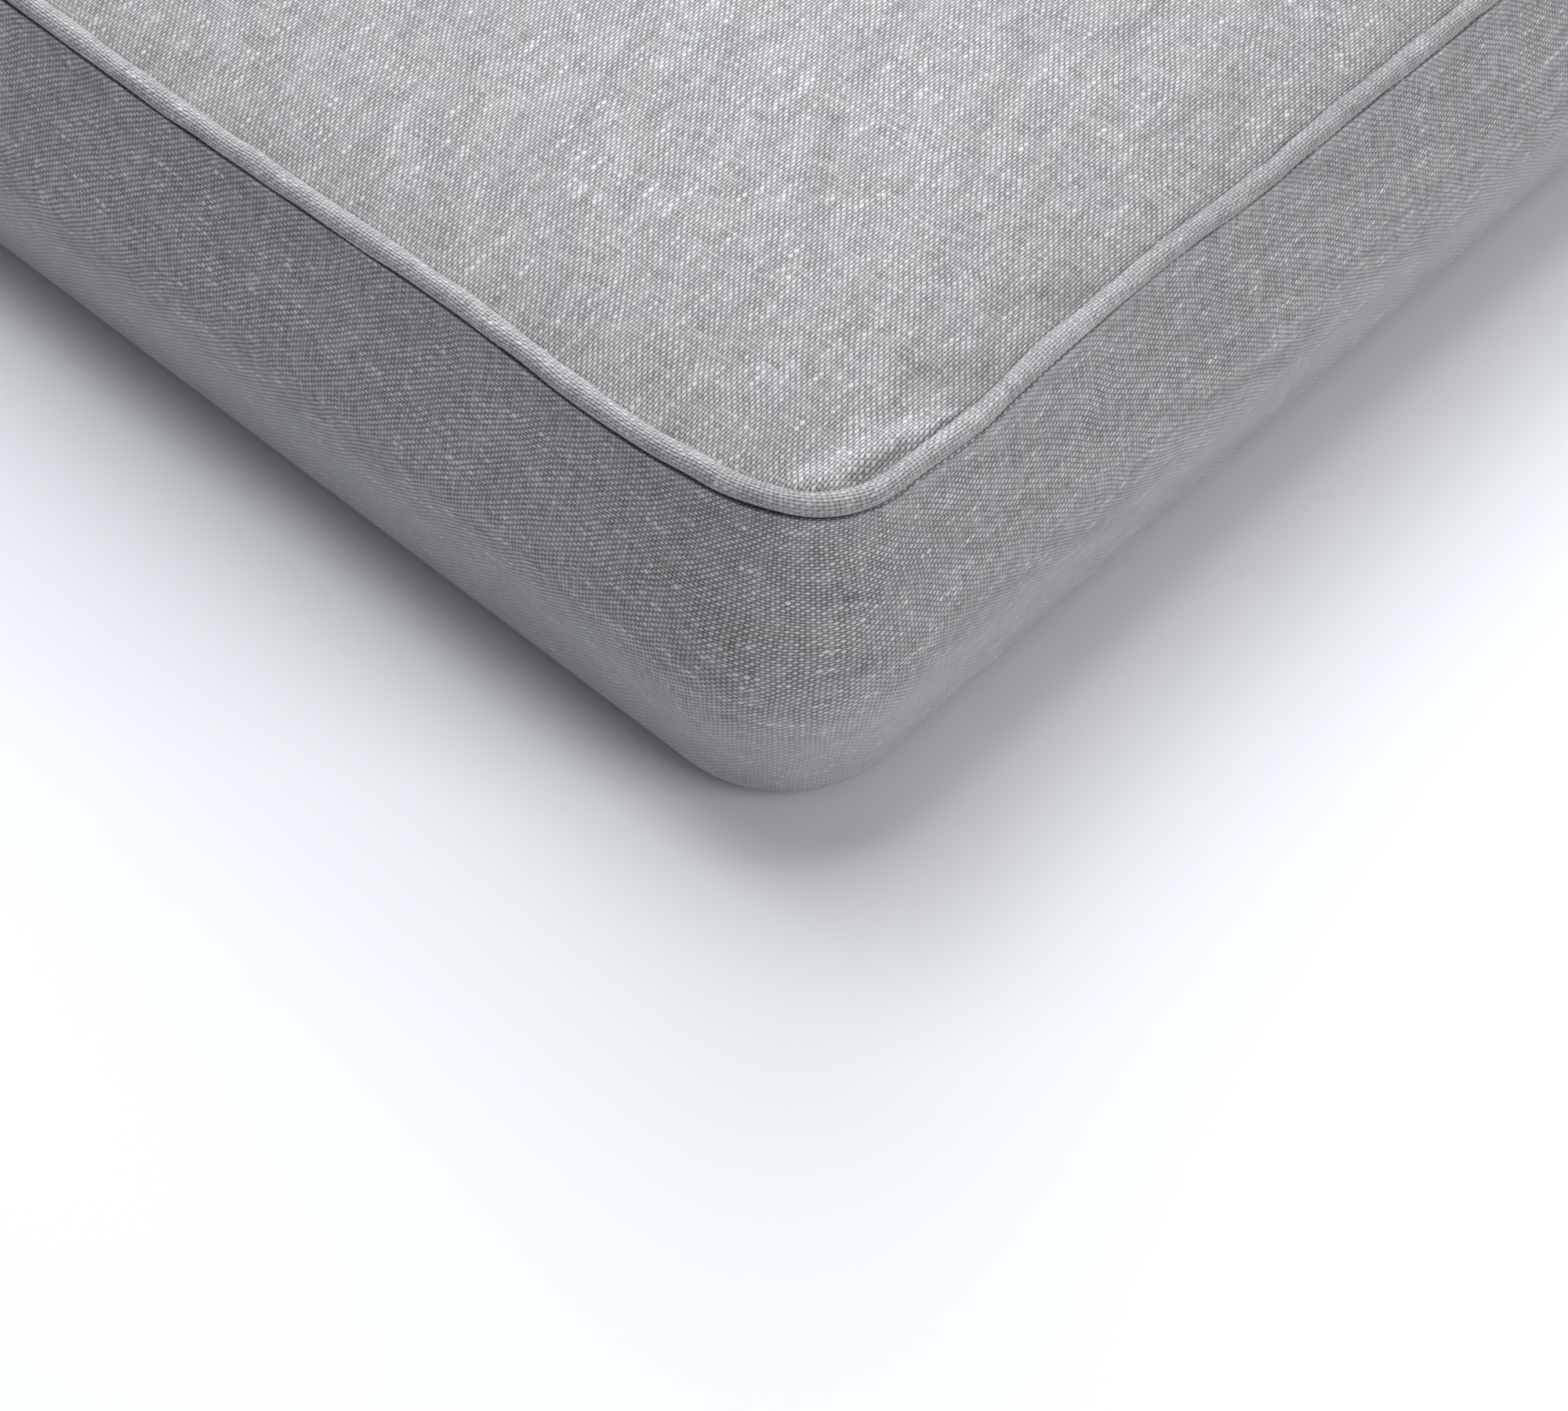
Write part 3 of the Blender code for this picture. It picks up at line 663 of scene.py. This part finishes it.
def linen(name, look, twist, contrast=1.0, shade=1.0, haze=0.0, wave=1.0, float_length=0.72):
    """Slubby plain-weave linen over the cloth's own metres.

    In counts u of dark yarns and v of light ones, a light yarn floats over a dark one
    where their numbers are both even or both odd. A float is an oval longer than it is
    wide, turned a little by the yarn's twist. Every yarn swells and changes tone along
    itself, thick places make rows of bright beads, and slow noise makes streaks and
    clouds. Each float's top is painted lighter, a painted highlight. Contrast darkens
    what lies between the floats, a painted shade, shade dims the whole cloth, also a
    painted shade, haze is how far the weave softens low on the boxing, wave how much
    more its yarns wander, and float_length half a float's length in counts. A mesh may
    carry two tones at its points: seam, a painted shadow where the cloth is dark beside
    its seam, and crease, which is above zero on a crease's back, a painted highlight,
    and below it in a hollow, a painted shade. A tone that a mesh doesn't carry is zero.
    A number added to a noise's place, and the factor of a yarn's number there, only keep
    the noises and the yarns apart.
    """
    recipe = Recipe(name, LINEN_ROUGHNESS)
    along, across = recipe.cloth_metres()
    cycles = WANDER_CYCLES
    stray = recipe.noise(along * cycles, across * cycles, 1.0) - 0.5
    drift = recipe.noise(along * cycles + 31.7, across * cycles + 12.3, 1.0) - 0.5
    wander = look.wander * wave
    u = (along + stray * wander) / look.dark_pitch
    v = (across + drift * wander) / look.light_pitch
    past_u, past_v, column, row = nearest_float(u, v, twist)

    swell = recipe.noise(u * 0.10, row * 3.17, 1.0) - 0.5
    slub = recipe.noise(u * 0.13 + 9.4, row * 5.31).rise(0.750, 0.84)
    tone = recipe.chance(column, row) - 0.5
    half_long = tone * 0.12 + slub * 0.14 + float_length
    half_wide = 0.42 + swell * 0.62 + tone * 0.08 + slub * 0.26
    light = 1.0 - (past_u / half_long).square() - (past_v / half_wide).square()
    dome = light.root()

    dark_number = u.step("ROUND")
    dark_swell = recipe.noise(v * 0.12, dark_number * 4.43 + 70.0) - 0.5
    sideways = (u - dark_number) / (0.48 + dark_swell * 0.30)
    dark = 1.0 - sideways.square() - ((v - v.step("ROUND")) / 0.58).square()

    light_cover = light.rise(-0.04, 0.40)
    dark_cover = dark.rise(0.0, 0.62)
    streak = recipe.noise(along * 22.0, across * 210.0 + along * -70.0, 1.0) - 0.5
    cloud = recipe.noise(along * 16.0 + 5.0, across * 70.0 + along * -28.0, 2.0) - 0.5
    slow = streak * 0.14 + cloud * 0.26
    # A float's dome lightens its top: a painted highlight
    light_tone = (slow + tone * 0.10 + swell * 0.20 + dome * 0.18 + slub * 0.06 + 0.88) * shade
    dark_tone = (slow + dark_swell * 0.5 + 1.0) * (shade / contrast)

    # Between the floats the dark yarns lie over the holes, whose dark is partly painted shade
    under = recipe.blend(dark_cover, look.hole_and_shade, look.dark)
    under = recipe.blend(1.0, under, recipe.grey(dark_tone), "MULTIPLY")
    floats = recipe.blend(slub * 0.5, look.light, look.cream)
    floats = recipe.blend(1.0, floats, recipe.grey(light_tone), "MULTIPLY")
    tint = recipe.blend(light_cover, under, floats)
    patch = recipe.noise(along * 48.0 + 3.0, across * 62.0, 1.0).rise(0.30, 0.70)
    tint = recipe.blend(1.0, tint, recipe.blend(patch, look.warm, look.cool), "MULTIPLY")
    height = dome * (0.9 + slub * 0.4) + dark.root() * 0.35 * (1.0 - light_cover)
    if haze:
        low = across.rise(*HAZE_DEPTHS) * haze
        tint = recipe.blend(low, tint, look.haze)
        height = height * (1.0 - low)
    # Painted shadow: the cloth is blended towards the groove colour by the tone seam
    tint = recipe.blend(recipe.layer("seam"), tint, look.groove)
    # Painted light on the creases: lighter on a crease's back, a painted highlight, and tinted darker in a
    # hollow and beside the welt, a painted shade
    crease = recipe.layer("crease")
    back = crease.step("MAXIMUM", 0.0) * look.ridge_highlight + 1.0
    tint = recipe.blend(1.0, tint, recipe.grey(back), "MULTIPLY")
    hollow = recipe.blend((crease * -1.0).step("MAXIMUM", 0.0), (1.0, 1.0, 1.0), look.hollow)
    tint = recipe.blend(1.0, tint, hollow, "MULTIPLY")
    recipe.shader.inputs["Sheen Weight"].default_value = SHEEN_WEIGHT
    recipe.shader.inputs["Sheen Roughness"].default_value = SHEEN_ROUGHNESS
    return recipe.finish(tint, height, look.depth)


def ticking(name):
    """Plain undyed ticking: fine even yarns, a sine each way."""
    recipe = Recipe(name, TICKING_ROUGHNESS)
    along, across = recipe.cloth_metres()
    turns = 2 * math.pi / TICKING_PITCH
    rib = (along * turns).step("SINE") + (across * turns).step("SINE")
    cloud = recipe.noise(along * TICKING_CYCLES, across * TICKING_CYCLES, 2.0)
    tint = recipe.blend(cloud, TICKING_DARK, TICKING_LIGHT)
    return recipe.finish(tint, rib, TICKING_RELIEF)


def wrap_metres(seam, marks, spread):
    """Metres along a strip that runs round the seam, one more than there are marks.

    Round a corner the strip is measured at the given distance outside the seam.
    """
    closed = np.append(marks, marks[0] + seam.perimeter)
    metres = closed.copy()
    for centre in (*seam.corners, seam.corners[2] - seam.perimeter, seam.corners[3] - seam.perimeter):
        into = np.clip(closed - centre, -seam.arc / 2, seam.arc / 2)
        metres += into * spread / seam.radius
    return metres


def panel_insets(seam):
    """Insets of the top panel's rings, the largest first.

    They are evenly spaced beside the welt, and further in each step is wider than the
    one before it by the same factor.
    """
    fine = np.arange(0.0, 0.046, 0.0016)
    first_step = 0.0018
    wider = 1.125
    coarse = fine[-1] + first_step * (wider ** np.arange(1, 30) - 1) / (wider - 1)
    spine_gap = 0.02
    return np.concatenate([fine, coarse[coarse < seam.half_y - spine_gap]])[::-1, None]


def panel_metres(seam, plan):
    """The top panel's cloth metres: the way from its low sides, with the yarns askew.

    They lean most beside those sides, and the lean dies away exponentially.
    """
    place = plan + np.array([seam.half_x, seam.half_y])
    reach = 0.16
    grown = 1 - np.exp(-np.maximum(place, 0) / reach)
    along = place[..., 0] + 0.11 * reach * grown[..., 1]
    across = place[..., 1] - 0.12 * reach * grown[..., 0]
    return np.stack([along, across], -1)


def top_panel(sizes, look, seam):
    """The top panel: rings moved in from the welt to the spine.

    Its height is the seam's plus shoulder, crown and creases, and near the welt it
    follows the welt's lift. Its edge tucks down beside the welt.
    """
    marks = seam.stations()
    line, normal = seam.line(marks)
    stray, lift = seam.strays(marks)
    edge = line + (stray - sizes.welt_radius - sizes.gap)[:, None] * normal
    inset = panel_insets(seam)
    plan = towards_spine(seam, edge, inset)
    start = np.clip(inset / CREASE_START, 0.0, 1.0)
    crease = start * crease_height(seam, plan[..., 0], plan[..., 1])
    lifted = np.exp(-inset / LIFT_REACH) * lift
    face = raised(plan, sizes.seam_height + lifted + panel_rise(sizes, inset) + crease)
    tuck_down = 0.0020
    tuck_out = 0.0010
    tucked = face[-1:] + np.array([0.0, 0.0, -tuck_down])
    tucked[..., :2] += tuck_out * normal
    points = np.concatenate([face, tucked])
    metres = close_ring(panel_metres(seam, points[..., :2]))
    piece = loft("top_panel_linen", points, metres, linen("linen_top", look, look.twist), cap_first=True)
    # The crease tone: above zero a painted highlight on a ridge, below zero a painted shade in a hollow
    tone = np.concatenate([crease, crease[-1:]]) / FULL_CREASE
    # Beside the welt the panel is tinted darker: painted shade
    rim_shade = RIM_SHADE * np.exp(-np.append(inset, 0.0) / RIM_REACH)[:, None]
    carry(piece, "crease", np.clip(tone, -1.0, 1.0) - rim_shade * (1 - np.clip(tone, 0.0, 1.0)))
    thicken(piece, sizes.cloth)
    return piece


def along_swell(swell, values):
    """A value along the seam: the first where the boxing's edge swells, else the second."""
    return values[0] * swell + values[1] * (1 - swell)


def groove_shadow(marks, lengths):
    """How dark the boxing is in the groove under the welt, fading down from its edge.

    This dark is a painted shadow. Near the camera's corner it is dark where the edge is
    tucked in, a little less so along the long side. Further round it is even.
    """
    near_reach = 0.45
    swelled = window(marks, 0.016, 0.100, 0.006)
    beyond = 0.5 + 0.5 * np.tanh((marks - 0.100) / 0.010)
    dark = np.where(np.abs(marks) < near_reach, 0.45 * (1 - swelled) - 0.20 * beyond, 0.35)
    fade_start = 0.0002
    fade_reach = 0.00045
    return dark * np.exp(-np.clip(lengths + fade_start, 0, None) / fade_reach)[:, None]


def boxing(sizes, look, seam):
    """The boxing: the side's profile carried along the seam, then the roll and the hem.

    Its top edge is tucked in under the welt on most of the way, and swells up to the
    welt along the long side near the camera's corner.
    """
    marks = seam.stations()
    line, normal = seam.line(marks)
    stray, lift = seam.strays(marks)
    down, out = side_profile(sizes, levels=48, turns=9, hem_rows=5)
    lengths = np.append(0.0, np.cumsum(np.hypot(np.diff(down), np.diff(out))))
    down = down[:, None]
    top = sizes.welt_radius + sizes.gap
    fade = np.clip(1.0 - down / sizes.break_depth, 0.0, 1.0)
    flat = np.clip((sizes.seam_height - sizes.roll_radius - down) / sizes.roll_radius, 0.0, 1.0)
    hollow = np.minimum(side_hollows(seam, marks[None], down), DEEPEST_HOLLOW) * flat
    swell = window(marks, *SWELL_SPAN, SWELL_SOFTNESS)
    proud = np.exp(-(down - top) / EDGE_REACH) * along_swell(swell, EDGE_PROUD)
    offset = out[:, None] + fade * stray - hollow + proud
    face = rings_from(line, normal, offset, sizes.seam_height - down + fade * lift)
    tucked = face[:1].copy()
    tucked[..., 2] += along_swell(swell, EDGE_LIFT)
    tucked[..., :2] -= TUCK_INWARD * normal
    points = np.concatenate([tucked, face])
    lengths = np.append(-TUCK_LENGTH, lengths)
    metres = wrap_metres(seam, marks, spread=0.008)
    along, across = np.meshgrid(metres, lengths)
    cloth = np.stack([along, across], -1)
    twist = -look.twist
    # Contrast above one paints the boxing's dark yarns and holes darker: painted shade
    finish = linen("linen_boxing", look, twist, contrast=1.22, haze=0.6, wave=1.35, float_length=0.62)
    piece = loft("boxing_linen", points, cloth, finish)
    # The boxing carries the groove's painted shadow as its tone seam
    carry(piece, "seam", groove_shadow(marks, lengths))
    thicken(piece, sizes.cloth)
    return piece


def welt(sizes, look, seam):
    """The welt: a circle carried along the seam, a little uneven in its thickness.

    Its linen is painted darker round the camera's corner and further along the long side,
    a painted shade.
    """
    marks = seam.stations(finer=1.6)
    line, normal = seam.line(marks)
    stray, lift = seam.strays(marks)
    turn = 2 * math.pi * np.arange(WELT_SIDES)[:, None] / WELT_SIDES
    ripple = np.sin(marks * 263.0 + 1.3) * np.cos(turn + marks * 31.0)
    radius = sizes.welt_radius + WELT_UNEVEN * (np.sin(marks * 151.0) + ripple)
    offset = stray + radius * np.cos(turn)
    points = rings_from(line, normal, offset, sizes.seam_height + lift - radius * np.sin(turn))
    metres = wrap_metres(seam, marks, spread=0.0)
    around = sizes.welt_radius * 2 * math.pi * np.arange(WELT_SIDES + 1) / WELT_SIDES
    along, across = np.meshgrid(metres, around)
    # The welt is the same linen dimmed by shade, a painted shade, and it is blended towards the groove's
    # painted shadow colour in the stretches of the table above
    finish = linen("linen_welt", look, -look.twist, contrast=0.80, shade=0.88)
    piece = loft("welt_linen_cord", points, np.stack([along, across], -1), finish)
    welt_shade = sum(tone * window(marks, low, high, soft) for low, high, soft, tone in WELT_SHADE)
    carry(piece, "seam", np.broadcast_to(welt_shade, (WELT_SIDES, len(marks))))
    return piece


def mattress(sizes, seam):
    """The plain mattress inside: the cover's faces, a hollow's depth further in."""
    marks = seam.stations(finer=0.4)
    line, normal = seam.line(marks)
    inset = np.array([0.300, 0.200, 0.120, 0.070, 0.040, 0.026, 0.015])[:, None]
    edge_settle = 0.0016
    settle = edge_settle * (np.exp(-inset / 0.060) + np.exp(-inset / 0.020))
    plan = towards_spine(seam, line, inset)
    top = raised(plan, sizes.seam_height + panel_rise(sizes, inset) - sizes.cloth - sizes.gap - settle)
    foot = sizes.seam_height - sizes.roll_radius
    hollow_room = 0.0022
    clear = sizes.cloth + hollow_room + sizes.gap
    recess = sizes.cloth + sizes.gap
    side_top = 0.014
    down = np.linspace(side_top, foot, 12)
    out = side_lean(sizes, down) - clear
    roll_centre = side_lean(sizes, np.array([foot]))[0] - sizes.roll_radius
    turn = np.linspace(0, math.pi / 2, 6)[1:]
    hem_end = roll_centre - sizes.hem_width - sizes.gap
    down = np.concatenate([down, foot + (sizes.roll_radius - recess) * np.sin(turn)])
    out = np.concatenate([out, roll_centre + (sizes.roll_radius - clear) * np.cos(turn)])
    down = np.concatenate([down, [sizes.seam_height - recess, sizes.seam_height]])[:, None]
    out = np.concatenate([out, [hem_end, hem_end]])[:, None]
    points = np.concatenate([top, rings_from(line, normal, out, sizes.seam_height - down)])
    metres = close_ring(points[..., :2] + points[..., 2:])
    return loft(
        "mattress_ticking", points, metres, ticking("ticking"), cap_first=True, cap_last=True
    )


def settings(context):
    """The sizes, the linen's look and the seam worked out from the sizes."""
    scene = context.scene
    return scene.daybed_sizes, scene.daybed_linen, Seam(scene.daybed_sizes)


class DAYBED_OT_mattress(bpy.types.Operator):
    """Make the plain mattress that the cover fits"""

    bl_idname = "daybed.mattress"
    bl_label = "Mattress"

    def execute(self, context):
        sizes, _, seam = settings(context)
        piece = mattress(sizes, seam)
        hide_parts("mattress")
        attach(piece, "root")
        return {"FINISHED"}


class DAYBED_OT_top_panel(bpy.types.Operator):
    """Make the linen top panel"""

    bl_idname = "daybed.top_panel"
    bl_label = "Top panel"

    def execute(self, context):
        sizes, look, seam = settings(context)
        piece = top_panel(sizes, look, seam)
        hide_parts("top_panel")
        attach(piece, "root")
        return {"FINISHED"}


class DAYBED_OT_boxing(bpy.types.Operator):
    """Make the linen boxing strip with its hem"""

    bl_idname = "daybed.boxing"
    bl_label = "Boxing"

    def execute(self, context):
        sizes, look, seam = settings(context)
        piece = boxing(sizes, look, seam)
        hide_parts("boxing")
        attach(piece, "root")
        return {"FINISHED"}


class DAYBED_OT_welt(bpy.types.Operator):
    """Make the linen-covered welt cord"""

    bl_idname = "daybed.welt"
    bl_label = "Welt"

    def execute(self, context):
        sizes, look, seam = settings(context)
        piece = welt(sizes, look, seam)
        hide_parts("welt")
        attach(piece, "root")
        return {"FINISHED"}


def camera_turn():
    """The camera's axes as a matrix: image right, image up and backwards."""
    yaw, down, roll = (math.radians(a) for a in (CAMERA_YAW, CAMERA_DOWN, CAMERA_ROLL))
    ahead = Vector((math.cos(yaw) * math.cos(down), math.sin(yaw) * math.cos(down), -math.sin(down)))
    level = Vector((math.sin(yaw), -math.cos(yaw), 0.0))
    under = ahead.cross(level)
    right = math.cos(roll) * level + math.sin(roll) * under
    up = math.sin(roll) * level - math.cos(roll) * under
    return Matrix((right, up, -ahead)).transposed().to_4x4()


def soft_light(name, place, size, power, tint):
    """A large square light that faces the lit place."""
    lamp = bpy.data.lights.new(name, "AREA")
    lamp.size = size
    lamp.energy = power
    lamp.color = tint
    item = bpy.data.objects.new(name, lamp)
    item.location = place
    item.rotation_euler = (Vector(LIT_PLACE) - Vector(place)).to_track_quat("-Z", "Y").to_euler()
    bpy.context.scene.collection.objects.link(item)


class DAYBED_OT_stage(bpy.types.Operator):
    """Make the floor, the soft lights and the camera"""

    bl_idname = "daybed.stage"
    bl_label = "Stage"

    def execute(self, context):
        look = context.scene.daybed_stage
        bpy.ops.mesh.primitive_plane_add(size=FLOOR_SIDE, location=(0.0, 0.0, -FLOOR_DROP))
        floor = context.object
        floor.name = "studio_floor"
        recipe = Recipe("pale_floor", FLOOR_ROUGHNESS)
        recipe.feed(recipe.shader.inputs["Base Color"], tuple(look.floor))
        floor.data.materials.append(recipe.material)

        soft_light("key", place=(-0.35, 0.55, 3.0), size=1.8, power=look.key, tint=(0.97, 0.985, 1.0))
        soft_light("window", place=(0.35, 0.75, 1.45), size=1.0, power=look.window, tint=(0.96, 0.98, 1.0))
        soft_light("fill", place=(-0.3, -2.6, 1.2), size=1.6, power=look.fill, tint=WARM_WHITE)
        sky = bpy.data.worlds.new("studio_sky")
        sky.use_nodes = True
        background = sky.node_tree.nodes["Background"].inputs
        background["Color"].default_value = (*WARM_WHITE, 1.0)
        background["Strength"].default_value = look.sky
        context.scene.world = sky
        context.scene.view_settings.view_transform = "Standard"

        lens = bpy.data.cameras.new("photo_view")
        lens.lens = CAMERA_LENS
        lens.sensor_width = SENSOR_WIDTH
        lens.sensor_fit = "HORIZONTAL"
        camera = bpy.data.objects.new("photo_view", lens)
        camera.matrix_world = Matrix.Translation(CAMERA_PLACE) @ camera_turn()
        context.scene.collection.objects.link(camera)
        context.scene.camera = camera
        return {"FINISHED"}


class DAYBED_PT_cover(bpy.types.Panel):
    """Sidebar panel of the daybed cover"""

    bl_label = "Daybed cover"
    bl_space_type = "VIEW_3D"
    bl_region_type = "UI"
    bl_category = "Daybed cover"

    def draw(self, context):
        layout = self.layout
        for operator in OPERATORS:
            layout.operator(operator.bl_idname)
        for group in (context.scene.daybed_sizes, context.scene.daybed_linen, context.scene.daybed_stage):
            box = layout.box()
            for name in group.__annotations__:
                box.prop(group, name)


GROUPS = (CoverSizes, LinenLook, StageLook)
OPERATORS = (
    DAYBED_OT_mattress,
    DAYBED_OT_top_panel,
    DAYBED_OT_boxing,
    DAYBED_OT_welt,
    DAYBED_OT_stage,
)


def register():
    for item in (*GROUPS, *OPERATORS, DAYBED_PT_cover):
        bpy.utils.register_class(item)
    bpy.types.Scene.daybed_sizes = PointerProperty(type=CoverSizes)
    bpy.types.Scene.daybed_linen = PointerProperty(type=LinenLook)
    bpy.types.Scene.daybed_stage = PointerProperty(type=StageLook)


def unregister():
    del bpy.types.Scene.daybed_stage
    del bpy.types.Scene.daybed_linen
    del bpy.types.Scene.daybed_sizes
    for item in reversed((*GROUPS, *OPERATORS, DAYBED_PT_cover)):
        bpy.utils.unregister_class(item)


def main():
    """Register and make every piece."""
    register()
    bpy.ops.daybed.mattress()
    bpy.ops.daybed.top_panel()
    bpy.ops.daybed.boxing()
    bpy.ops.daybed.welt()
    bpy.ops.daybed.stage()


if __name__ == "__main__":
    main()
